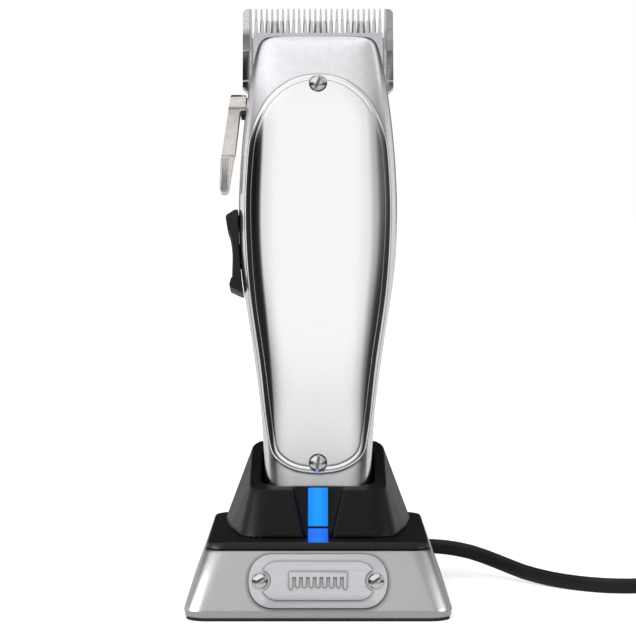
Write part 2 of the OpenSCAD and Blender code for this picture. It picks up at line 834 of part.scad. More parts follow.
module blade_carrier() color(steel)
    in_clipper()
        difference() {
            union() {
                translate([-16, carrier_in, 126.6]) cube([32, comb_inner - 0.02 - carrier_in, 19.6]);
                translate([-17.4, -6.2, 126.6]) cube([4, 14, 13]);
            }
            translate([-18, -7, pivot_z + taper_travel / 2 - cam_r - play])
                cube([5, 11.8, 2 * (cam_r + play)]);
            for (x = [-9.5, 9.5]) translate([x, 20, 142.3]) facing_front() cylinder(r = 1.25, h = 20);
            for (x = [-8, 8]) translate([x, 20, 131]) facing_front() cylinder(r = 0.8, h = 20);
        }

module blade_screws() color(steel)
    in_clipper()
        for (x = [-9.5, 9.5])
            translate([x, 12.25, 142.3])
                rotate([-90, 0, 0]) slotted_screw(5.6, 1.1, 2.4, 6.2, 20);

module tension_spring() color(steel)
    in_clipper()
        translate([0, carrier_in - 0.02, 0])
            facing_front()
                linear_extrude(0.5)
                    difference() {
                        translate([-13, 128]) square([26, 22.2]);
                        translate([-9.8, 134.4]) square([19.6, 24]);
                        for (x = [-8, 8]) translate([x, 131]) circle(0.85);
                    }

module spring_screws() color(steel)
    in_clipper()
        for (x = [-8, 8])
            translate([x, carrier_in - 0.55, 131]) facing_front() slotted_screw(2.8, 0.7, 1.55, 3, 40);

// Side profile of the cutter, [y, z]
CUTTER_PROFILE = [
    [8.75, 146.8], [8.75, 163], [8, 163], [6.9, 158.6], [5.5, 156.6], [5.5, 146.8]
];

module cutter_blade() color(steel) {
    width = 2 * (comb_w / 2 - 2.1 - stroke - 0.15);
    pitch = 1.98;
    in_clipper()
        difference() {
            translate([-width / 2, 0, 0]) rotate([90, 0, 90]) linear_extrude(width) polygon(CUTTER_PROFILE);
            for (i = [0 : cutter_teeth])
                translate([(i - cutter_teeth / 2) * pitch, 0, 0]) gap(0.8, 1.4, 159, 164, 4, 10);
            for (s = [-1, 1])
                translate([s * (cutter_teeth + 1.5) * pitch / 2, 0, 0]) gap(1.6, 2, 159.6, 164, 4, 10);
            for (x = [-4, 4]) translate([x, 20, peg_z]) facing_front() cylinder(r = 1.45, h = 20);
        }
}

module drive_yoke() color(black) {
    reach = pin_r + stroke;
    in_clipper()
        difference() {
            union() {
                translate([-6.5, -3, 136]) cube([13, 8, 11]);
                translate([-6.5, 2.2, 146.4]) cube([13, cutter_inner - 0.02 - 2.2, 3.8]);
                for (x = [-4, 4]) translate([x, 7.8, peg_z]) facing_front() cylinder(r = 1.4, h = 5);
            }
            translate([-reach - stroke - 0.2, motor_y - reach - 0.3, 135])
                cube([2 * (reach + stroke + 0.2), 2 * (reach + 0.3), 10]);
        }
}

// ---- Clipper: taper lever ----

// Front outline of the lever, [x, z]: a head, and an arm that spreads away from the body to a finger tab
LEVER_FRONT = [
    [-24.4, 136.4], [-27, 136.4], [-27.5, 135.8], [-29.9, 119], [-30.7, 114.6], [-30.9, 106.2],
    [-30.4, 104.7], [-28.8, 104.4], [-28.1, 105.4], [-26.7, 115.2], [-26.1, 117.2], [-24.7, 129.8],
    [-24.4, 130]
];
LEVER_SIDE = [[-3.7, 132], [-3, 118], [-3.3, 114.6], [-3.6, 107], [-2.4, 104.5], [0, 103.9]];

module taper_lever() color(nickel)
    in_clipper()
        difference() {
            union() {
                intersection() {
                    translate([0, 20, 0]) facing_front() linear_extrude(40) polygon(LEVER_FRONT);
                    translate([-40, pivot_y, 0])
                        rotate([90, 0, 90])
                            linear_extrude(30) {
                                translate([0, pivot_z]) circle(4.4);
                                polygon(concat(LEVER_SIDE, mirrored(LEVER_SIDE), [[3.7, 132]]));
                            }
                }
                // Hood round the upper part of the bush
                difference() {
                    translate([-22.72, pivot_y, pivot_z]) facing_left() cylinder(r = 4.4, h = 2);
                    translate([-22, pivot_y, pivot_z]) facing_left() cylinder(r = 3.75, h = 2.35);
                    translate([-26, pivot_y - 6, pivot_z - 6]) cube([4, 12, 4.4]);
                }
            }
            translate([-23, pivot_y, pivot_z]) facing_left() cylinder(r = shaft_r - 0.2, h = 2.6);
            translate([-24, pivot_y, pivot_z]) facing_left() cylinder(r = 0.8, h = 8);
            translate([-26.2, pivot_y, pivot_z]) facing_left() cylinder(r = 2.2, h = 8);
            // Step at the top of the tab, and three grooves down it
            translate([-32, pivot_y - 13, 100]) cube([6, 10.4, 16.2]);
            for (x = [-30.1, -29.3, -28.5])
                translate([x, pivot_y - 2.8, 103]) cube([0.35, 0.55, 12.4]);
        }

module cam_shaft() color(steel)
    in_clipper()
        difference() {
            union() {
                translate([-13.6, pivot_y, pivot_z]) facing_left() cylinder(r = shaft_r, h = 10.4);
                translate([-13.6, pivot_y, pivot_z]) facing_left() cylinder(r = shaft_r - 0.25, h = 11.8);
                translate([-13.6, pivot_y - cam_throw * cos(lever_swing / 2), pivot_z + cam_throw * sin(lever_swing / 2)])
                    facing_left() cylinder(r = cam_r, h = 3.4);
            }
            translate([-20, pivot_y, pivot_z]) facing_left() cylinder(r = 0.75, h = 8);
        }

module lever_screw() color(steel)
    in_clipper()
        translate([-26.22, pivot_y, pivot_z]) facing_left() slotted_screw(4, 0.7, 1.4, 5.6, 30);

module lever_bush() color([0.2, 0.19, 0.18])
    in_clipper()
        difference() {
            union() {
                translate([-18.4, pivot_y, pivot_z]) facing_left() cylinder(r = 3.45, h = 5);
                translate([-22.62, pivot_y, pivot_z]) facing_left() cylinder(r = 3.6, h = 1.6);
            }
            translate([-10, pivot_y, pivot_z]) facing_left() cylinder(r = shaft_r + 0.05, h = 20);
        }

// ---- Clipper: power switch ----

// Front outline of the thumb saddle, [x, z], without its ribs: its back follows the housing's side
rib_low = 76.8;
rib_high = 91.4;
rib_count = 17;
function saddle_x(z) = -26.4 - 1.5 * ((z - 82.6) / 9.6) ^ 2 * (z > 82.6 ? 1 : 0.3);
module switch_saddle() color(black) {
    pitch = (rib_high - rib_low) / rib_count;
    ribs = [
        for (i = [rib_count - 1 : -1 : 0])
            let (z = rib_low + i * pitch)
            each [[saddle_x(z + pitch) - 0.3, z + pitch * 0.9], [saddle_x(z) + 0.35, z + pitch * 0.45]]
    ];
    in_clipper()
        translate([0, 5.5, 0])
            facing_front()
                linear_extrude(11)
                    polygon(concat(
                        [[-24.98, 98], [-26, 98], [-28.5, 96.4], [-28.8, 95.6], [-28.3, 92.2]],
                        ribs,
                        [[-27.1, 76.2], [-27.6, 74.4], [-27.3, 73.6], [-23.9, 72], [-23.15, 71.9],
                            [-23.8, 76.4], [-24.3, 81], [-24.7, 86.4], [-24.95, 92]]
                    ));
}

module switch_carriage() color(black)
    in_clipper() {
        translate([-20.7, -4, switch_z - 8]) cube([1.4, 8, 16]);
        translate([-25.2, -1.8, switch_z - 4.6]) cube([4.6, 3.6, 7.2]);
        translate([-20, -1.1, switch_z - 3]) cube([4.7, 2.2, 2.5]);
    }

// ---- The nodes ----

base_shell();
top_deck();
cradle();
light_bar();
light_foot();
nameplate();
nameplate_screws();
base_plate();
base_plate_screws();
nonslip_pad();
charge_board();
light_source();
pin_block();
charge_pin(-1);  // charge_pin_left
charge_pin(1);  // charge_pin_right
pin_spring(-1);  // pin_spring_left
pin_spring(1);  // pin_spring_right
inlet_jack();
lead_plug();
lead_relief();
lead_cord();
lead_coil();
lead_cord_end();
adapter_relief();
adapter_case();
adapter_prongs();
housing();
front_cover();
cover_screw_top();
cover_screw_bottom();
tail_cap();
contact_pads();
power_jack();
battery_cell();
cell_holder();
control_board();
switch_unit();
motor_can();
motor_end_bell();
motor_magnets();
motor_bush();
lever_bush();
comb_blade();
blade_carrier();
blade_screws();
tension_spring();
spring_screws();
cutter_blade();
drive_yoke();
motor_shaft();
rotor_core();
commutator();
crank();
taper_lever();
cam_shaft();
lever_screw();
switch_saddle();
switch_carriage();
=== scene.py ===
import math
import bmesh
import bpy
from mathutils import Matrix, Vector


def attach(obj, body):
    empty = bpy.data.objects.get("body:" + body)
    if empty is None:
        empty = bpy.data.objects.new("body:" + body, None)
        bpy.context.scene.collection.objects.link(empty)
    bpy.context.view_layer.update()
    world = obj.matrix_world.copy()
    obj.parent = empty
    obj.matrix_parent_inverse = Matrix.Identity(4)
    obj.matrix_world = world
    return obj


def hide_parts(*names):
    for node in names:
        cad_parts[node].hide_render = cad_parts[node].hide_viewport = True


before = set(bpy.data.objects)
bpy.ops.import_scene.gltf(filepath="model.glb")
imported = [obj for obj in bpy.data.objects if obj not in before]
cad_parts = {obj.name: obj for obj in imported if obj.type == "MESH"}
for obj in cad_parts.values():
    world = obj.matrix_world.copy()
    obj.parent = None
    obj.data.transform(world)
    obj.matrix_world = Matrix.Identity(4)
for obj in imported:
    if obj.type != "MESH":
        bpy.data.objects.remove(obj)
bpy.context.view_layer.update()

bpy.ops.object.select_all(action="DESELECT")

# The camera stands a little higher than the middle of the clipper, three quarters of a metre away,
# and looks down on it by a few degrees through a long lens, as product pictures are taken.
bpy.ops.object.camera_add(location=(0, -0.736, 0.1298), rotation=(math.radians(90 - 3.33), 0, 0))
camera = bpy.context.object
camera.data.lens = 135.5
bpy.context.scene.camera = camera

# The flat lead: two cores side by side in black vinyl, 4.8 mm wide and standing on its edge.
# It comes out of the plug's relief to the right, sinks to the table and runs to a coil of nine
# turns in two layers, and the last of it climbs off the coil to the power supply.
LEAD_TALL = 0.0048
LEAD_THIN = 0.0032
COIL_CENTRE = Vector((0.148, -0.0045, 0))
COIL_R = 0.0355
LEAD_OUT = [(36, 43, 9.6), (42, 43, 9.2), (50, 41.4, 7.9), (58, 36.4, 5.7), (66, 28.8, 3.5),
            (74, 20.4, 2.6), (82, 13.4, 2.4), (90, 9, 2.4), (98, 8, 2.4), (105, 10.4, 2.4),
            (112, 15.6, 2.4), (119, 21.8, 2.4), (126, 27.2, 2.4), (134, 30.3, 2.4), (141, 30.9, 2.4)]
LEAD_ON = [(155, 31.1, 7.2), (160, 31.2, 7.2), (166, 30.8, 6.4), (172, 29.6, 5.4), (179, 28, 4.7),
           (186, 27.4, 4.6)]


def drawn_through(points, steps):
    """A smooth line through some points, with a number of steps between each two."""
    points = [Vector(p) for p in points]
    line = []
    for i in range(len(points) - 1):
        a, b = points[max(i - 1, 0)], points[i]
        c, d = points[i + 1], points[min(i + 2, len(points) - 1)]
        for j in range(steps):
            s = j / steps
            line.append(0.5 * (2 * b + (c - a) * s + (2 * a - 5 * b + 4 * c - d) * s ** 2
                               + (3 * b - a - 3 * c + d) * s ** 3))
    return line + [points[-1]]


COIL_STEPS = 32
coil_turn = []
for i in range(9 * COIL_STEPS + 1):
    turn = i / COIL_STEPS
    inward = 4.5 - abs(turn - 4.5)
    radius = COIL_R - inward * 0.0033
    lift = min(max((turn - 4.3) / 0.4, 0), 1)
    lift = lift * lift * (3 - 2 * lift)
    angle = math.pi / 2 - 2 * math.pi * turn
    coil_turn.append(COIL_CENTRE + Vector((radius * math.cos(angle), radius * math.sin(angle),
                                           LEAD_TALL * (0.5 + lift) + 0.0001 * lift)))
lead_line = ([p * 0.001 for p in drawn_through(LEAD_OUT, 2)] + coil_turn
             + [p * 0.001 for p in drawn_through(LEAD_ON, 2)])

# Each ring of the lead is a rounded bar with a shallow groove between its two cores.
ring_shape = []
for j in range(20):
    a = 2 * math.pi * j / 20
    groove = 1 - 0.16 * max(0, 1 - abs(math.sin(a)) / 0.34) if j not in (0, 10) else 0.84
    ring_shape.append((LEAD_THIN / 2 * groove * abs(math.cos(a)) ** 0.8 * (1 if math.cos(a) > 0 else -1),
                       LEAD_TALL / 2 * math.sin(a)))
lead_mesh = bpy.data.meshes.new("charging_lead")
lead_points, lead_faces = [], []
for i, p in enumerate(lead_line):
    run = (lead_line[min(i + 1, len(lead_line) - 1)] - lead_line[max(i - 1, 0)]).normalized()
    side = run.cross(Vector((0, 0, 1))).normalized()
    up = side.cross(run)
    lead_points += [p + side * x + up * z for x, z in ring_shape]
for i in range(len(lead_line) - 1):
    for j in range(20):
        k = (j + 1) % 20
        lead_faces.append((i * 20 + j, i * 20 + k, i * 20 + 20 + k, i * 20 + 20 + j))
lead_faces.append(tuple(range(19, -1, -1)))
lead_faces.append(tuple(len(lead_points) - 20 + j for j in range(20)))
lead_mesh.from_pydata(lead_points, [], lead_faces)
charging_lead = bpy.data.objects.new("charging_lead", lead_mesh)
bpy.context.collection.objects.link(charging_lead)
bpy.context.view_layer.objects.active = charging_lead
charging_lead.select_set(True)
bpy.ops.object.mode_set(mode="EDIT")
bpy.ops.mesh.select_all(action="SELECT")
bpy.ops.mesh.normals_make_consistent(inside=False)
bpy.ops.object.mode_set(mode="OBJECT")
bpy.ops.object.shade_smooth_by_angle(angle=math.radians(50))
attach(charging_lead, "stand")
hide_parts("lead_cord", "lead_coil", "lead_cord_end")

def finish(name, dark, light, metallic=0.0, rough=(0.4, 0.5), grain=1500, stretch=(1, 1, 1),
           bump=0.05, depth=0.00004, shine=0.5, painted_shade_reach=0.0):
    """A finish whose colour, roughness and height all follow one grain, drawn out where it is brushed.

    The width in metres given for painted shade is how far into corners and creases the colour is darkened
    as painted shade.
    """
    material = bpy.data.materials.new(name)
    material.use_nodes = True
    nodes, links = material.node_tree.nodes, material.node_tree.links
    shader = nodes["Principled BSDF"]
    shader.inputs["Metallic"].default_value = metallic
    shader.inputs["Specular IOR Level"].default_value = shine
    place = nodes.new("ShaderNodeTexCoord")
    drawn = nodes.new("ShaderNodeMapping")
    drawn.inputs["Scale"].default_value = stretch
    noise = nodes.new("ShaderNodeTexNoise")
    noise.inputs["Scale"].default_value = grain
    noise.inputs["Detail"].default_value = 4
    tint = nodes.new("ShaderNodeValToRGB")
    tint.color_ramp.elements[0].color = (*dark, 1)
    tint.color_ramp.elements[1].color = (*light, 1)
    tint.color_ramp.elements[0].position = 0.3
    tint.color_ramp.elements[1].position = 0.7
    gloss = nodes.new("ShaderNodeMapRange")
    gloss.inputs["To Min"].default_value, gloss.inputs["To Max"].default_value = rough
    relief = nodes.new("ShaderNodeBump")
    relief.inputs["Strength"].default_value = bump
    relief.inputs["Distance"].default_value = depth
    links.new(place.outputs["Object"], drawn.inputs["Vector"])
    links.new(drawn.outputs["Vector"], noise.inputs["Vector"])
    links.new(noise.outputs["Fac"], tint.inputs["Fac"])
    links.new(noise.outputs["Fac"], gloss.inputs["Value"])
    links.new(noise.outputs["Fac"], relief.inputs["Height"])
    colour = tint.outputs["Color"]
    if painted_shade_reach:
        # Painted shade: an ambient occlusion darkens the colour in corners and creases, standing in for
        # their shadow.
        corner = nodes.new("ShaderNodeAmbientOcclusion")
        corner.samples = 8
        corner.inputs["Distance"].default_value = painted_shade_reach
        depth_curve = nodes.new("ShaderNodeMath")
        depth_curve.operation = "POWER"
        depth_curve.inputs[1].default_value = 2.2
        painted_shade = nodes.new("ShaderNodeVectorMath")
        painted_shade.operation = "SCALE"
        links.new(corner.outputs["AO"], depth_curve.inputs[0])
        links.new(colour, painted_shade.inputs[0])
        links.new(depth_curve.outputs[0], painted_shade.inputs["Scale"])
        colour = painted_shade.outputs["Vector"]
    links.new(colour, shader.inputs["Base Color"])
    links.new(gloss.outputs["Result"], shader.inputs["Roughness"])
    links.new(relief.outputs["Normal"], shader.inputs["Normal"])
    return material


def coat(material, *pieces):
    """Puts a finish on pieces, or on CAD nodes by name."""
    for piece in pieces:
        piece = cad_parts[piece] if isinstance(piece, str) else piece
        if not piece.material_slots:
            piece.data.materials.append(material)
        for held in piece.material_slots:
            held.material = material


lead_vinyl = finish("lead_vinyl", (0.003, 0.003, 0.0033), (0.007, 0.007, 0.0074), rough=(0.36, 0.48),
                    grain=900, bump=0.08, shine=0.35)
coat(lead_vinyl, charging_lead)


# The moulded pieces on the lead: the elbow plug and its ribbed relief at the stand, and the power
# supply's own relief, shell and two blades. The shells are hard vinyl, and the blades plated brass.
def edged(node, name, body, material, width, sharp=30, segments=2):
    """A copy of a CAD node whose edges are eased by a small bevel; it stands for the node."""
    bpy.ops.object.select_all(action="DESELECT")
    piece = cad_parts[node].copy()
    piece.data = piece.data.copy()
    piece.name = piece.data.name = name
    piece.parent = None
    bpy.context.collection.objects.link(piece)
    bpy.context.view_layer.objects.active = piece
    piece.select_set(True)
    bpy.ops.object.mode_set(mode="EDIT")
    bpy.ops.mesh.select_all(action="SELECT")
    bpy.ops.mesh.remove_doubles(threshold=0.000002)
    bpy.ops.mesh.dissolve_limited(angle_limit=math.radians(0.6))
    bpy.ops.object.mode_set(mode="OBJECT")
    eased = piece.modifiers.new("eased_edges", "BEVEL")
    eased.width = width
    eased.segments = segments
    eased.limit_method = "ANGLE"
    eased.angle_limit = math.radians(sharp)
    bpy.ops.object.modifier_apply(modifier=eased.name)
    bpy.ops.object.shade_smooth_by_angle(angle=math.radians(sharp))
    piece.data.materials.clear()
    coat(material, piece)
    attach(piece, body)
    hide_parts(node)
    return piece


hard_vinyl = finish("hard_vinyl", (0.004, 0.004, 0.0044), (0.009, 0.009, 0.0095), rough=(0.38, 0.5),
                    grain=2200, bump=0.12, shine=0.4)
plated_brass = finish("plated_brass", (0.62, 0.56, 0.42), (0.75, 0.70, 0.56), 1.0, (0.2, 0.32),
                      grain=700, stretch=(1, 1, 12))
edged("adapter_case", "power_supply", "stand", hard_vinyl, 0.0009, segments=4)
edged("adapter_prongs", "power_supply_blades", "stand", plated_brass, 0.00018)
coat(hard_vinyl, "lead_plug", "lead_relief", "adapter_relief", "inlet_jack")

# The foot: a foamed rubber pad stuck under a moulded plate, which four screws hold to the base.
pad_rubber = finish("pad_rubber", (0.012, 0.012, 0.012), (0.03, 0.03, 0.03), rough=(0.75, 0.9),
                    grain=1400, bump=0.4)
moulded_black = finish("moulded_black", (0.005, 0.005, 0.0055), (0.011, 0.011, 0.0115),
                       rough=(0.42, 0.55), grain=2600, bump=0.15, shine=0.4)
zinc_steel = finish("zinc_steel", (0.46, 0.46, 0.47), (0.62, 0.62, 0.63), 1.0, (0.25, 0.4), grain=900)
coat(pad_rubber, "nonslip_pad")
coat(moulded_black, "base_plate")
coat(zinc_steel, "base_plate_screws")


# The base: a die-cast zinc shell with four sloping sides, blasted, plated in satin silver, and open
# below. It is grown here ring by ring from its foot, hollowed, and cut for the tub and the jack.
def grown(name, rings, scale=0.001):
    """A closed form, grown from a circle: each ring is extruded from the last and set in its place."""
    bpy.ops.object.select_all(action="DESELECT")
    bpy.ops.mesh.primitive_circle_add(vertices=len(rings[0]), radius=1, fill_type="NGON")
    piece = bpy.context.object
    piece.name = piece.data.name = name
    bpy.ops.object.mode_set(mode="EDIT")
    bpy.ops.mesh.select_all(action="SELECT")
    mesh = bmesh.from_edit_mesh(piece.data)
    order = sorted((v for v in mesh.verts), key=lambda v: math.atan2(v.co.y, v.co.x) % (2 * math.pi))
    for v, p in zip(order, rings[0]):
        v.co = Vector(p) * scale
    bmesh.update_edit_mesh(piece.data)
    for ring in rings[1:]:
        here = {tuple(v.co): i for i, v in enumerate(order)}
        bpy.ops.mesh.extrude_region_move()
        mesh = bmesh.from_edit_mesh(piece.data)
        order = [None] * len(ring)
        for v in mesh.verts:
            if v.select:
                order[here[tuple(v.co)]] = v
        for v, p in zip(order, ring):
            v.co = Vector(p) * scale
        bmesh.update_edit_mesh(piece.data)
    bpy.ops.mesh.select_all(action="SELECT")
    bpy.ops.mesh.normals_make_consistent(inside=False)
    bpy.ops.object.mode_set(mode="OBJECT")
    return piece


def rounded_outline(half_w, half_d, radius, steps=10):
    """Points round a rectangle with rounded corners, from the right-hand side onwards."""
    outline = []
    for quarter in range(4):
        cx = (half_w - radius) * (1 if quarter in (0, 3) else -1)
        cy = (half_d - radius) * (1 if quarter in (0, 1) else -1)
        for i in range(steps + 1):
            a = math.pi / 2 * (quarter + i / steps)
            outline.append((cx + radius * math.cos(a), cy + radius * math.sin(a)))
    return outline


def cut(piece, *tools):
    """Cuts tools away from a piece, and removes them."""
    bpy.ops.object.select_all(action="DESELECT")
    bpy.context.view_layer.objects.active = piece
    piece.select_set(True)
    for tool in tools:
        carving = piece.modifiers.new("cut", "BOOLEAN")
        carving.object = tool
        carving.operation = "DIFFERENCE"
        carving.solver = "EXACT"
        bpy.ops.object.modifier_apply(modifier=carving.name)
        bpy.data.objects.remove(tool)


def block(low, high, scale=0.001):
    """A plain tool for cutting, between two corners."""
    bpy.ops.object.select_all(action="DESELECT")
    bpy.ops.mesh.primitive_cube_add(size=1)
    tool = bpy.context.object
    low, high = Vector(low) * scale, Vector(high) * scale
    tool.data.transform(Matrix.Translation((low + high) / 2) @ Matrix.Diagonal((*(high - low), 1)))
    return tool


def rod(centre, radius, length, axis="Z", scale=0.001, sides=48):
    """A round tool for cutting, whose centre is given."""
    bpy.ops.object.select_all(action="DESELECT")
    bpy.ops.mesh.primitive_cylinder_add(vertices=sides, radius=radius * scale, depth=length * scale)
    tool = bpy.context.object
    turn = {"X": Matrix.Rotation(math.pi / 2, 4, "Y"), "Y": Matrix.Rotation(math.pi / 2, 4, "X"),
            "Z": Matrix.Identity(4)}[axis]
    tool.data.transform(Matrix.Translation(Vector(centre) * scale) @ turn)
    return tool


def smoothed(piece, angle=30):
    """Shades a piece smooth, apart from its sharp edges."""
    bpy.ops.object.select_all(action="DESELECT")
    bpy.context.view_layer.objects.active = piece
    piece.select_set(True)
    bpy.ops.object.shade_smooth_by_angle(angle=math.radians(angle))


PAD_TOP = 0.8
BASE_TOP = 20.3
FOOT_HALF_W, FOOT_HALF_D = 40.5, 41
SIDE_LEAN = 19.8
SIDE_SLOPE = math.tan(math.radians(SIDE_LEAN))


def base_ring(z, inset=0.0, radius=7.0):
    slope = (z - PAD_TOP) * SIDE_SLOPE + inset
    return [(x, y, z) for x, y in rounded_outline(FOOT_HALF_W - slope, FOOT_HALF_D - slope,
                                                  max(radius - inset / 2, 1))]


base_shell = grown("satin_base", [
    base_ring(PAD_TOP + up, inset) for up, inset in (
        (0.02, 1.35), (0.3, 1.02), (1.7, 0.32), (2.05, 0.09), (2.4, 0.02), (3, 0.01), (10.8, 0),
        (18.4, 0.01), (18.9, 0.08), (19.25, 0.28), (19.49, 0.7))])
hollow = grown("hollow", [base_ring(-1, 2.2), base_ring(BASE_TOP - 2.2, 2.2)])
cut(base_shell, hollow, block((-20.5, -19, 15), (20.5, 12.8, 25)), rod((7, 38, 9.6), 4.6, 14, "Y"),
    rod((0, -24.6, 18), 2.6, 10))
smoothed(base_shell, 24)
satin_silver = finish("satin_silver", (0.42, 0.42, 0.425), (0.50, 0.50, 0.505), 1.0, (0.26, 0.36),
                      grain=3400, bump=0.25, depth=0.000015, painted_shade_reach=0.0015)
coat(satin_silver, base_shell)
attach(base_shell, "stand")
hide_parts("base_shell")

# Inside the base: the charging board, its lamp, and the two sprung contact pins in their block.
green_board = finish("green_board", (0.010, 0.075, 0.035), (0.025, 0.15, 0.07), rough=(0.25, 0.45),
                     grain=600)
lamp_lens = finish("lamp_lens", (0.75, 0.82, 0.9), (0.9, 0.95, 1), rough=(0.15, 0.25), grain=400)
gold_plate = finish("gold_plate", (0.72, 0.50, 0.18), (0.86, 0.63, 0.27), 1.0, (0.18, 0.28),
                    grain=1200)
spring_wire = finish("spring_wire", (0.42, 0.42, 0.43), (0.55, 0.55, 0.56), 1.0, (0.2, 0.34),
                     grain=2500)
coat(green_board, "charge_board", "control_board")
coat(lamp_lens, "light_source")
coat(gold_plate, "charge_pin_left", "charge_pin_right", "contact_pads")
coat(spring_wire, "pin_spring_left", "pin_spring_right", "tension_spring")
coat(moulded_black, "pin_block")

# The deck: a moulded black lid on the base, its sides in line with the base's, its top edge eased.
DECK_TOP = 22.5


def deck_ring(z, inset=0.0):
    slope = (BASE_TOP - PAD_TOP) * SIDE_SLOPE + (z - BASE_TOP) * 0.32 + inset
    return [(x, y, z) for x, y in rounded_outline(FOOT_HALF_W - slope, FOOT_HALF_D - slope,
                                                  6.6 - inset / 2)]


deck = grown("deck_lid", [
    deck_ring(BASE_TOP + up, inset) for up, inset in (
        (0.02, 0.25), (0.2, 0.04), (0.4, 0), (1.3, 0), (1.7, 0.05), (1.98, 0.2), (2.12, 0.42),
        (2.19, 0.8))])
cut(deck, block((-20.5, -19, 18), (20.5, 12.8, 26)), rod((0, -24.6, 20), 2.6, 12),
    block((-3.1, -33, DECK_TOP - 0.8), (3.1, -21, 26)))
smoothed(deck, 28)
deck_satin = finish("deck_satin", (0.002, 0.002, 0.0022), (0.006, 0.006, 0.0063), rough=(0.3, 0.42),
                    grain=3200, bump=0.2, shine=0.3)
coat(deck_satin, deck)
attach(deck, "stand")
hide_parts("top_deck")

# The cradle: one thick moulding in black, whose rim rises to the back. A pocket takes the clipper's
# tail and a channel down the front takes the light. The moulding's edges are all softly rounded.
CLIPPER_LEAN = 13
TO_CLIPPER = (Matrix.Translation((0, -5.7, 23.5))
              @ Matrix.Rotation(math.radians(-CLIPPER_LEAN), 4, "X"))
RIM_SLOPE = 11 / 41.1
CRADLE_STEPS = 120


def farthest(circles, angle):
    """The point of some circles' common outline that lies farthest in one direction."""
    way = Vector((math.cos(angle), math.sin(angle)))
    x, y, r = max(circles, key=lambda c: c[0] * way.x + c[1] * way.y + c[2])
    return Vector((x + r * way.x, y + r * way.y))


foot_rounds = [(s * x, y, r) for s in (-1, 1) for x, y, r in ((15.3, -16.7, 9), (16.6, -1, 11),
                                                              (17.2, 15.5, 12))]
rim_rounds = [(s * 14.5, y, 6) for s in (-1, 1) for y in (-14.6, 14.5)]


def cradle_ring(part, inset=0.0):
    ring = []
    for i in range(CRADLE_STEPS):
        angle = 2 * math.pi * (i + 0.5) / CRADLE_STEPS
        low, high = farthest(foot_rounds, angle), farthest(rim_rounds, angle)
        rim_z = 36.3 + (high.y + 20.6) * RIM_SLOPE
        spot = low.lerp(high, part) - Vector((math.cos(angle), math.sin(angle))) * inset
        ring.append((spot.x, spot.y, DECK_TOP + 0.02 + (rim_z - DECK_TOP - 0.06) * part))
    return ring


def settled(piece, scale=0.001):
    """Leans a piece that was made upright in the clipper's own millimetres back into the stand."""
    piece.data.transform(Matrix.Scale(scale, 4) @ TO_CLIPPER)
    return piece


def remoulded(piece, voxel, rounds):
    """Melts a piece into an even skin, which rounds its edges as a moulding's are."""
    bpy.ops.object.select_all(action="DESELECT")
    bpy.context.view_layer.objects.active = piece
    piece.select_set(True)
    skin = piece.modifiers.new("skin", "REMESH")
    skin.mode = "VOXEL"
    skin.voxel_size = voxel
    skin.use_smooth_shade = True
    bpy.ops.object.modifier_apply(modifier=skin.name)
    melt = piece.modifiers.new("melt", "SMOOTH")
    melt.factor = 0.5
    melt.iterations = rounds
    bpy.ops.object.modifier_apply(modifier=melt.name)


cradle = grown("cradle_moulding", [cradle_ring(0), cradle_ring(0.5), cradle_ring(1)])
pocket_rows = [[(x, y + 0.65, z) for x, y in rounded_outline(17.3, 14.15, 5)] for z in (-1.6, 60)]
pocket = settled(grown("pocket", pocket_rows, 1))
front_lean = math.atan2(5.1, 13.8)
channel_sides = [(-4, 0), (4, 0), (7.6, 16.7), (8.4, 20.7), (-8.4, 20.7), (-7.6, 16.7)]
channel = grown("channel", [[(x, y, z) for x, z in channel_sides] for y in (0, -12)], 1)
channel.data.transform(Matrix.Scale(0.001, 4)
                       @ Matrix.Translation((0, -25.7 + 2.8 / math.cos(front_lean), DECK_TOP))
                       @ Matrix.Rotation(-front_lean, 4, "X") @ Matrix.Translation((0, 0, -2)))
cut(cradle, pocket, channel)
remoulded(cradle, 0.00055, 4)
cradle_black = finish("cradle_black", (0.0015, 0.0015, 0.0017), (0.007, 0.007, 0.0074),
                      rough=(0.3, 0.48), grain=2400, bump=0.5, depth=0.00004, shine=0.16)
coat(cradle_black, cradle)
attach(cradle, "stand")
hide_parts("cradle")


# The light: a bar up the channel and a foot let into the deck, both clear plastic lit from below,
# so the foot is the deeper blue and the bar is brightest along its middle.
def lit(name, edge, middle, half_width, strength):
    material = bpy.data.materials.new(name)
    material.use_nodes = True
    nodes, links = material.node_tree.nodes, material.node_tree.links
    shader = nodes["Principled BSDF"]
    shader.inputs["Roughness"].default_value = 0.3
    shader.inputs["Base Color"].default_value = (0.0, 0.01, 0.06, 1)
    shader.inputs["Specular IOR Level"].default_value = 0.2
    shader.inputs["Emission Strength"].default_value = strength
    place = nodes.new("ShaderNodeTexCoord")
    parts = nodes.new("ShaderNodeSeparateXYZ")
    across = nodes.new("ShaderNodeMath")
    across.operation = "ABSOLUTE"
    span = nodes.new("ShaderNodeMapRange")
    span.inputs["From Max"].default_value = half_width
    clouds = nodes.new("ShaderNodeTexNoise")
    clouds.inputs["Scale"].default_value = 180
    drift = nodes.new("ShaderNodeMath")
    drift.operation = "MULTIPLY_ADD"
    drift.inputs[1].default_value = 0.3
    tint = nodes.new("ShaderNodeValToRGB")
    tint.color_ramp.elements[0].color = (*middle, 1)
    tint.color_ramp.elements[1].color = (*edge, 1)
    links.new(place.outputs["Object"], parts.inputs["Vector"])
    links.new(place.outputs["Object"], clouds.inputs["Vector"])
    links.new(parts.outputs["X"], across.inputs[0])
    links.new(across.outputs[0], span.inputs["Value"])
    links.new(clouds.outputs["Fac"], drift.inputs[0])
    links.new(span.outputs["Result"], drift.inputs[2])
    links.new(drift.outputs[0], tint.inputs["Fac"])
    links.new(tint.outputs["Color"], shader.inputs["Emission Color"])
    return material


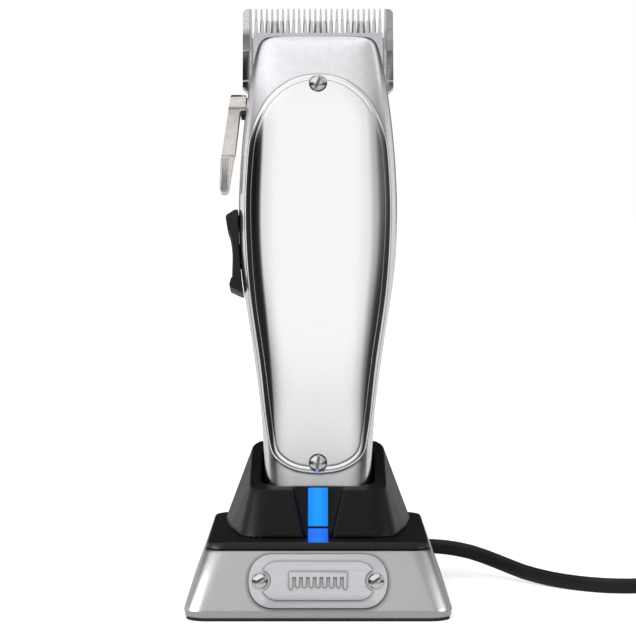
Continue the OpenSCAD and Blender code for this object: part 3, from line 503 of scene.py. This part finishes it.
bar_glow = lit("bar_glow", (0.004, 0.22, 0.85), (0.010, 0.36, 1.0), 0.004, 1.0)
foot_glow = lit("foot_glow", (0.010, 0.12, 0.75), (0.020, 0.19, 0.90), 0.004, 1.0)
edged("light_bar", "lit_bar", "stand", bar_glow, 0.0002)
edged("light_foot", "lit_foot", "stand", foot_glow, 0.0002)


# The nameplate: a thick stamped plate, brushed along its length and chromed, with a raised panel and
# a comb mark of its own. Two slotted screws with domed heads hold it to the base's front.
def slotted_screw(name, head, dome, shank, length, turn, place, body, material):
    """A screw made upright with its head's seat at zero, slotted, and then set in its place."""
    ball = (head ** 2 / 4 + dome ** 2) / (2 * dome)
    steps = 48

    def turned(radius, z):
        return [(radius * math.cos(2 * math.pi * i / steps), radius * math.sin(2 * math.pi * i / steps), z)
                for i in range(steps)]

    full = math.asin(head / 2 / ball)
    profile = [(shank * 0.42, -length), (shank / 2, -length + 0.3), (shank / 2, 0.0),
               (head / 2 - 0.12, 0.0), (head / 2 - 0.02, 0.07)]
    profile += [(ball * math.sin(full * k), dome - ball + ball * math.cos(full * k))
                for k in (0.97, 0.9, 0.78, 0.64, 0.5, 0.36, 0.22, 0.08)]
    screw = grown(name, [turned(r, z) for r, z in profile], 1)
    slot_tool = block((-head, -head / 12, dome * 0.1), (head, head / 12, dome * 2), 1)
    slot_tool.data.transform(Matrix.Rotation(math.radians(turn), 4, "Z"))
    cut(screw, slot_tool)
    screw.data.transform(Matrix.Scale(0.001, 4) @ place)
    smoothed(screw, 32)
    coat(material, screw)
    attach(screw, body)
    return screw


brushed_chrome = finish("brushed_chrome", (0.53, 0.53, 0.54), (0.59, 0.59, 0.60), 1.0, (0.13, 0.19),
                        grain=160, stretch=(1, 30, 30), bump=0.02, depth=0.000004, painted_shade_reach=0.0012)
screw_chrome = finish("screw_chrome", (0.62, 0.62, 0.63), (0.74, 0.74, 0.75), 1.0, (0.16, 0.22),
                      grain=500, bump=0.01, painted_shade_reach=0.0011)
edged("nameplate", "badge_plate", "stand", brushed_chrome, 0.00016, segments=3)
FACING_FRONT = Matrix.Rotation(math.pi / 2, 4, "X")
PLATE_Z = 11.4
ON_BASE_FRONT = (Matrix.Translation((0, -FOOT_HALF_D + (PLATE_Z - PAD_TOP) * SIDE_SLOPE, PLATE_Z))
                 @ Matrix.Rotation(math.radians(-SIDE_LEAN), 4, "X"))
for side, turn in ((-1, 28), (1, 35)):
    screw = slotted_screw(f"badge_screw_{'left' if side < 0 else 'right'}", 4.7, 1.1, 2, 6, turn,
                          ON_BASE_FRONT @ Matrix.Translation((17.1 * side, -0.95, 0)) @ FACING_FRONT,
                          "stand", screw_chrome)
    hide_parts("nameplate_screws")

# The housing: a one-piece aluminium casting with an even wall, barrel polished to a satin shine. It
# is open at its tail and behind its front cover, and notched at its head for the blades.
BODY = [(0, 15.0, 12.0, 12.0, 5), (12, 16.0, 13.0, 13.2, 4.6), (35, 17.6, 14.2, 15.0, 3.8),
        (58, 20.7, 15.2, 16.2, 3.3), (80, 24.0, 15.8, 17.2, 3), (98, 24.8, 16.2, 17.8, 3),
        (118, 24.0, 16.0, 18.0, 3.1), (136, 22.0, 14.6, 17.0, 3.6), (145, 20.4, 12.7, 15.6, 4.4),
        (149.6, 19.3, 11.4, 14.6, 5), (151.8, 18.4, 10.5, 13.8, 5.4), (152.7, 17.6, 9.8, 13.2, 5.4)]
BODY_TOP = 152.7


def body_at(w):
    """Half-width, front depth, back depth and fullness of the housing at a height above its tail."""
    w = min(max(w, 0), BODY_TOP)
    i = 0
    while i < len(BODY) - 2 and w > BODY[i + 1][0]:
        i += 1
    rise = BODY[i + 1][0] - BODY[i][0]
    s = (w - BODY[i][0]) / rise

    def leaning(row, k):
        before, after = BODY[max(row - 1, 0)], BODY[min(row + 1, len(BODY) - 1)]
        return (after[k] - before[k]) / (after[0] - before[0])

    return [(2 * s ** 3 - 3 * s ** 2 + 1) * BODY[i][k] + (s ** 3 - 2 * s ** 2 + s) * rise * leaning(i, k)
            + (3 * s ** 2 - 2 * s ** 3) * BODY[i + 1][k] + (s ** 3 - s ** 2) * rise * leaning(i + 1, k)
            for k in (1, 2, 3, 4)]


def power(x, n):
    return math.copysign(abs(x) ** n, x)


ROUND = 112


def body_ring(w, grow=0.0, at=None):
    a, front, back, full = body_at(w)
    ring = []
    for i in range(ROUND):
        t = 2 * math.pi * i / ROUND
        c, s = math.cos(t), math.sin(t)
        ring.append(((a + grow) * power(c, 2 / full),
                     ((front if s < 0 else back) + grow) * power(s, 2 / full), w if at is None else at))
    return ring


outer_heights = [2.5 * i for i in range(1, 58)] + [146.5, 148, 149.2, 150.2, 151, 151.6, 152.1, 152.45]
casting = grown("housing_casting", [body_ring(0, -0.15)] + [body_ring(0.5)]
                + [body_ring(w) for w in outer_heights] + [body_ring(BODY_TOP, -0.05)], 1)
inner = grown("inner", [body_ring(0, -2.2, -1)] + [body_ring(w, -2.2) for w in range(0, 150, 5)]
              + [body_ring(BODY_TOP - 2.2, -2.2)], 1)

COVER = [(0, 139.1), (4.5, 138.5), (8.3, 137.2), (11.3, 135.4), (13.8, 133.4), (16, 131), (18, 127.8),
         (19.7, 124.3), (21.2, 119.5), (22.1, 112), (22.7, 99), (22.3, 84), (20.9, 67), (18.4, 50),
         (16.5, 35), (15.3, 27), (14, 21), (10.8, 17.4), (6, 15.2), (0, 14.5)]
COVER_SIDE = [(p.x, p.y) for p in drawn_through([(x, z, 0) for x, z in COVER], 4)]
COVER_SIDE[0] = (0, COVER_SIDE[0][1])


def cover_outline(inset=0.0):
    """The cover's outline, from its top down its right side and up its left, moved in by some mm."""
    n = len(COVER_SIDE)
    right = []
    for i, (x, z) in enumerate(COVER_SIDE):
        if i in (0, n - 1):
            right.append((0.0, z - inset if i == 0 else z + inset))
            continue
        dx = COVER_SIDE[i + 1][0] - COVER_SIDE[i - 1][0]
        dz = COVER_SIDE[i + 1][1] - COVER_SIDE[i - 1][1]
        long = math.hypot(dx, dz)
        right.append((x + dz / long * inset, z - dx / long * inset))
    return right + [(-x, z) for x, z in right[-2:0:-1]]


# The comb blade comes down to 136.4 at the end of its travel, and the notch's floor lies just below.
NOTCH_FLOOR = 136.3
opening = grown("opening", [[(x, y, z) for x, z in cover_outline(-0.15)] for y in (-6, -40)], 1)
cut(casting, inner, opening,
    block((-40, 8.6, NOTCH_FLOOR), (40, 48, 176), 1), block((-40, 5.2, 146.3), (40, 45, 186), 1),
    rod((-27, 1, 132), 3.55, 20, "X", 1), rod((-32.6, 1, 132), 4.7, 20, "X", 1),
    block((-30, -2, 76.2), (-18, 2, 88), 1))
settled(casting)
smoothed(casting, 32)
satin_aluminium = finish("satin_aluminium", (0.78, 0.78, 0.79), (0.84, 0.84, 0.85), 1.0, (0.20, 0.25),
                         grain=400, bump=0.0, painted_shade_reach=0.0009)
coat(satin_aluminium, casting)
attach(casting, "clipper")
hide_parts("housing")

# The tail: a moulded cap with the two charging contacts, which the stand's pins touch, and a small
# jack for a lead of its own.
tail_black = finish("tail_black", (0.004, 0.004, 0.0044), (0.009, 0.009, 0.0095), rough=(0.4, 0.52),
                    grain=2600, bump=0.2, shine=0.4)
edged("tail_cap", "tail_moulding", "clipper", tail_black, 0.0003)
coat(zinc_steel, "power_jack")

# The power train: a wrapped cell in its holder, the control board and the slide switch.
cell_wrap = finish("cell_wrap", (0.03, 0.10, 0.24), (0.05, 0.15, 0.32), rough=(0.25, 0.4), grain=300)
coat(cell_wrap, "battery_cell")
coat(moulded_black, "cell_holder", "switch_unit")

# The motor: a drawn steel can with two magnets, a wound rotor on its shaft, and a brass bush.
can_steel = finish("can_steel", (0.42, 0.42, 0.43), (0.56, 0.56, 0.57), 1.0, (0.28, 0.4), grain=600,
                   stretch=(1, 1, 8))
magnet_grey = finish("magnet_grey", (0.06, 0.06, 0.065), (0.11, 0.11, 0.115), rough=(0.55, 0.7),
                     grain=1800, bump=0.2)
enamelled_copper = finish("enamelled_copper", (0.42, 0.13, 0.05), (0.66, 0.24, 0.10), 1.0, (0.25, 0.4),
                          grain=160, stretch=(1, 1, 30), bump=0.4)
coat(can_steel, "motor_can", "motor_shaft", "crank")
coat(moulded_black, "motor_end_bell", "drive_yoke")
coat(magnet_grey, "motor_magnets")
coat(enamelled_copper, "rotor_core")
coat(gold_plate, "motor_bush", "commutator")

# The blades: hardened steel, ground flat and bright. The comb blade is screwed to a carrier that
# slides with the taper lever, and the cutter rides on it, pressed down by a flat spring.
blade_steel = finish("blade_steel", (0.46, 0.46, 0.47), (0.60, 0.60, 0.61), 1.0, (0.10, 0.18),
                     grain=420, stretch=(1, 1, 14), bump=0.04, depth=0.000004, painted_shade_reach=0.001)
cutter_steel = finish("cutter_steel", (0.46, 0.46, 0.47), (0.58, 0.58, 0.59), 1.0, (0.18, 0.3),
                      grain=420, stretch=(14, 1, 1), bump=0.04, depth=0.000004, painted_shade_reach=0.001)
edged("comb_blade", "comb_blade_ground", "blade", blade_steel, 0.00012, sharp=20)
edged("cutter_blade", "cutter_blade_ground", "cutter", cutter_steel, 0.0001, sharp=20)
coat(zinc_steel, "blade_carrier", "blade_screws", "spring_screws")

# The front cover: pressed steel, polished and chromed, with a flat rim, a fine step inside it and a
# full crown that follows the housing. Two slotted screws hold it to a bridge and a post.
PROUD = 0.9
SCREW_HIGH, SCREW_LOW = 135.9, 17.7


def front_at(x, w, proud=PROUD):
    """How far forward the cover's crown stands at one place."""
    a, front, back, full = body_at(w)
    across = min(abs(x) / (a + proud), 0.9999)
    return -(front + proud) * (1 - across ** full) ** (1 / full)


def cover_ring(inset, down=0.0, flat=None):
    return [(x, front_at(x, z) + down if flat is None else flat, z) for x, z in cover_outline(inset)]


rim_rings = [cover_ring(0.03, flat=-6.4), cover_ring(0.0, 0.5), cover_ring(0.05, 0.26),
             cover_ring(0.18, 0.1), cover_ring(0.38, 0.02), cover_ring(0.9), cover_ring(1.7),
             cover_ring(1.78, 0.015), cover_ring(1.83, 0.09), cover_ring(1.9, 0.09),
             cover_ring(1.95, 0.015), cover_ring(2.05), cover_ring(2.5)]
cover = grown("chromed_cover", rim_rings, 1)
bpy.ops.object.mode_set(mode="EDIT")
bpy.ops.mesh.select_all(action="DESELECT")
mesh = bmesh.from_edit_mesh(cover.data)
mesh.faces.ensure_lookup_table()
count = len(rim_rings[0])
half = count // 2
caps = [f for f in mesh.faces if len(f.verts) == count]
crown = max(caps, key=lambda f: -f.calc_center_median().y)
where = {tuple(round(c, 4) for c in v.co): v for v in crown.verts}
ring = [where[tuple(round(c, 4) for c in Vector(p))] for p in rim_rings[-1]]
bmesh.ops.delete(mesh, geom=[crown], context="FACES_ONLY")
COLUMNS = 40
rows = []
for i in range(1, half):
    right, left = ring[i], ring[count - i]
    row = [right]
    for k in range(1, COLUMNS):
        x = right.co.x * math.cos(math.pi * k / COLUMNS)
        row.append(mesh.verts.new((x, front_at(x, right.co.z), right.co.z)))
    rows.append(row + [left])
for upper, lower in zip(rows, rows[1:]):
    for k in range(COLUMNS):
        mesh.faces.new((upper[k], upper[k + 1], lower[k + 1], lower[k]))
for k in range(COLUMNS):
    mesh.faces.new((ring[0], rows[0][k + 1], rows[0][k]))
    mesh.faces.new((ring[half], rows[-1][k], rows[-1][k + 1]))
bmesh.update_edit_mesh(cover.data)
bpy.ops.mesh.select_all(action="SELECT")
bpy.ops.mesh.normals_make_consistent(inside=False)
bpy.ops.object.mode_set(mode="OBJECT")
inside = grown("inside", [body_ring(0, -1.1, -1)] + [body_ring(w, -1.1) for w in range(0, 152, 4)]
               + [body_ring(BODY_TOP, -1.1, 154)], 1)
cut(cover, inside, rod((0, -20, SCREW_HIGH), 2.85, 9.6, "Y", 1),
    rod((0, -18.7, SCREW_LOW), 2.85, 9.6, "Y", 1))
settled(cover)
smoothed(cover, 34)
cover_chrome = finish("cover_chrome", (0.86, 0.86, 0.865), (0.90, 0.90, 0.905), 1.0, (0.04, 0.08),
                      grain=300, stretch=(14, 14, 1), bump=0.0, painted_shade_reach=0.0006)
coat(cover_chrome, cover)
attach(cover, "clipper")
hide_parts("front_cover")
for end, depth, w, turn in (("top", 15.25, SCREW_HIGH, 68), ("bottom", 13.95, SCREW_LOW, 82)):
    screw = slotted_screw(f"cover_bolt_{end}", 5.4, 1.3, 2.5, 7, turn,
                          TO_CLIPPER @ Matrix.Translation((0, -depth, w)) @ FACING_FRONT,
                          "clipper", screw_chrome)
    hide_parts(f"cover_screw_{end}")


# The taper lever: cast and nickelled, on a cam shaft that turns in a dark sintered bush. Its arm
# spreads to a finger tab, and a small slotted screw holds it to the shaft.
warm_nickel = finish("warm_nickel", (0.60, 0.565, 0.53), (0.72, 0.68, 0.64), 1.0, (0.16, 0.26),
                     grain=900, bump=0.03, depth=0.000006)
sintered = finish("sintered", (0.03, 0.028, 0.026), (0.06, 0.055, 0.05), 0.6, (0.35, 0.5), grain=3000,
                  bump=0.2)
edged("taper_lever", "lever_casting", "lever", warm_nickel, 0.00028, segments=3)
coat(sintered, "lever_bush")
coat(zinc_steel, "cam_shaft", "lever_screw")

# The power switch: a ribbed thumb saddle, moulded in matte black, on a carriage inside the housing.
switch_black = finish("switch_black", (0.003, 0.003, 0.0033), (0.008, 0.008, 0.0085), rough=(0.45, 0.6),
                      grain=2600, bump=0.3, shine=0.35)
edged("switch_saddle", "thumb_saddle", "switch", switch_black, 0.00008)
coat(moulded_black, "switch_carriage")

# The studio: a broad soft light in front and one overhead, dark flags at both sides that draw the
# cover's edges, bright screens behind them, and two low strips that light the stand alone. The table
# and the backdrop are white where the camera sees them, and darker in reflections.
bpy.context.scene.view_settings.view_transform = "Standard"
world = bpy.data.worlds.new("studio")
bpy.context.scene.world = world
world.use_nodes = True
nodes, links = world.node_tree.nodes, world.node_tree.links
backdrop = nodes["Background"]
way = nodes.new("ShaderNodeTexCoord")
parts = nodes.new("ShaderNodeSeparateXYZ")
links.new(way.outputs["Generated"], parts.inputs["Vector"])


def worked(operation, *values):
    node = nodes.new("ShaderNodeMath")
    node.operation = operation
    for socket, value in zip(node.inputs, values):
        if hasattr(value, "is_linked"):
            links.new(value, socket)
        else:
            socket.default_value = value
    return node.outputs[0]


def banded(value, *stops):
    node = nodes.new("ShaderNodeValToRGB")
    ramp = node.color_ramp
    ramp.interpolation = "EASE"
    ramp.elements.remove(ramp.elements[-1])
    ramp.elements[0].position = stops[0][0]
    for at, level in stops[1:]:
        ramp.elements.new(at)
    for element, (at, level) in zip(ramp.elements, stops):
        element.color = (level, level, level * 1.01, 1)
    links.new(value, node.inputs["Fac"])
    return node.outputs["Color"]


bearing = worked("ARCTAN2", parts.outputs["X"], worked("MULTIPLY", parts.outputs["Y"], -1))
round_about = worked("MULTIPLY_ADD", bearing, 1 / (2 * math.pi), 0.5)
height = worked("MULTIPLY_ADD", worked("ARCSINE", parts.outputs["Z"]), 1 / math.pi, 0.5)


def turned_to(*stops):
    """Levels round the studio, by bearing in degrees from the front, right being positive."""
    return banded(round_about, *[(0.5 + a / 360, level) for a, level in stops])


def between(lower, upper, low, high, up=height):
    """Passes from one level to another as the elevation rises through some degrees."""
    part = nodes.new("ShaderNodeMapRange")
    part.interpolation_type = "SMOOTHSTEP"
    part.inputs["From Min"].default_value = 0.5 + low / 180
    part.inputs["From Max"].default_value = 0.5 + high / 180
    links.new(up, part.inputs["Value"])
    mix = nodes.new("ShaderNodeMix")
    mix.data_type = "RGBA"
    links.new(part.outputs["Result"], mix.inputs["Factor"])
    side_a, side_b = [s for s in mix.inputs if s.type == "RGBA"]
    links.new(lower, side_a)
    links.new(upper, side_b)
    return [s for s in mix.outputs if s.type == "RGBA"][0]


floor_band = turned_to((-180, 0.05), (-160, 0.12), (-145, 0.9), (-114, 1.0), (-106, 0.4), (-100, 0.03),
                       (-60, 0.02), (-30, 0.10), (0, 0.22), (30, 0.12), (60, 0.03), (100, 0.04),
                       (113, 0.8), (145, 0.8), (160, 0.12), (180, 0.05))
flag_band = turned_to((-180, 0.05), (-160, 0.12), (-145, 0.9), (-114, 1.0), (-106, 0.4), (-100, 0.03),
                      (-62, 0.01), (-53, 0.04), (-45, 0.85), (-20, 1.05), (16, 1.05), (34, 0.92),
                      (50, 0.5), (64, 0.14), (92, 0.04), (104, 0.1), (114, 0.85), (145, 0.8),
                      (160, 0.12), (180, 0.05))
top_band = turned_to((-180, 0.04), (-132, 0.06), (-118, 0.3), (-105, 0.95), (-85, 1.15), (-55, 1.25),
                     (-22, 1.1), (0, 1.0), (20, 0.84), (50, 0.64), (80, 0.6), (102, 1.1), (116, 0.4),
                     (132, 0.06), (180, 0.04))
upward = banded(height, (0.0, 0.9), (0.5, 1.0), (0.76, 1.0), (0.86, 0.95), (1.0, 0.7))
# The flags' upper edge comes down towards the sides, by this much of the bearing.
FLAG_FALL = 0.215
slanted = worked("MULTIPLY_ADD", worked("ABSOLUTE", bearing), FLAG_FALL / math.pi, height)
panorama = between(between(floor_band, flag_band, 7, 18), top_band, 37, 44, slanted)
overhead = banded(height, (0.0, 1.3), (1.0, 1.3))
panorama = between(panorama, overhead, 56, 70)
product = nodes.new("ShaderNodeVectorMath")
product.operation = "MULTIPLY"
links.new(panorama, product.inputs[0])
links.new(upward, product.inputs[1])
links.new(product.outputs[0], backdrop.inputs["Color"])
white = nodes.new("ShaderNodeBackground")
seen = nodes.new("ShaderNodeLightPath")
backing = nodes.new("ShaderNodeMixShader")
links.new(seen.outputs["Is Camera Ray"], backing.inputs["Fac"])
links.new(backdrop.outputs["Background"], backing.inputs[1])
links.new(white.outputs["Background"], backing.inputs[2])
white.inputs["Color"].default_value = (1, 1, 1, 1)
links.new(backing.outputs["Shader"], nodes["World Output"].inputs["Surface"])

bpy.ops.object.light_add(type="SUN", location=(-0.5, -0.5, 1))
key = bpy.context.object
key.rotation_euler = (Vector((0, 0, 0)) - key.location).to_track_quat("-Z", "Y").to_euler()
key.data.angle = math.radians(28)
key.data.energy = 1.6
key.visible_glossy = False

lit_by_strips = bpy.data.collections.new("lit_by_strips")
bpy.context.scene.collection.children.link(lit_by_strips)
for piece in (base_shell, deck, cradle):
    lit_by_strips.objects.link(piece)
for side, power_w in ((-1, 0.17), (1, 0.05)):
    bpy.ops.object.light_add(type="AREA", location=(side * 0.17, -0.075, 0.058))
    strip = bpy.context.object
    strip.rotation_euler = (Vector((0, 0, 0.012)) - strip.location).to_track_quat("-Z", "Y").to_euler()
    strip.data.shape = "RECTANGLE"
    strip.data.size = 0.10
    strip.data.size_y = 0.045
    strip.data.energy = power_w
    strip.visible_camera = False
    strip.visible_diffuse = False
    strip.light_linking.receiver_collection = lit_by_strips

bpy.ops.object.select_all(action="DESELECT")
bpy.ops.mesh.primitive_circle_add(vertices=64, radius=6, fill_type="NGON", location=(0, 0, 0))
floor = bpy.context.object
floor.name = "studio_floor"
table_white = finish("table_white", (0.60, 0.60, 0.60), (0.61, 0.61, 0.61), rough=(0.6, 0.7), grain=40,
                     bump=0.0, shine=0.0)
lift = table_white.node_tree.nodes["Principled BSDF"]
lift.inputs["Emission Color"].default_value = (1, 1, 1, 1)
looked_at = table_white.node_tree.nodes.new("ShaderNodeLightPath")
glow = table_white.node_tree.nodes.new("ShaderNodeMath")
glow.operation = "MULTIPLY_ADD"
glow.inputs[1].default_value, glow.inputs[2].default_value = 0.56, 0.06
table_white.node_tree.links.new(looked_at.outputs["Is Camera Ray"], glow.inputs[0])
table_white.node_tree.links.new(glow.outputs[0], lift.inputs["Emission Strength"])
coat(table_white, floor)
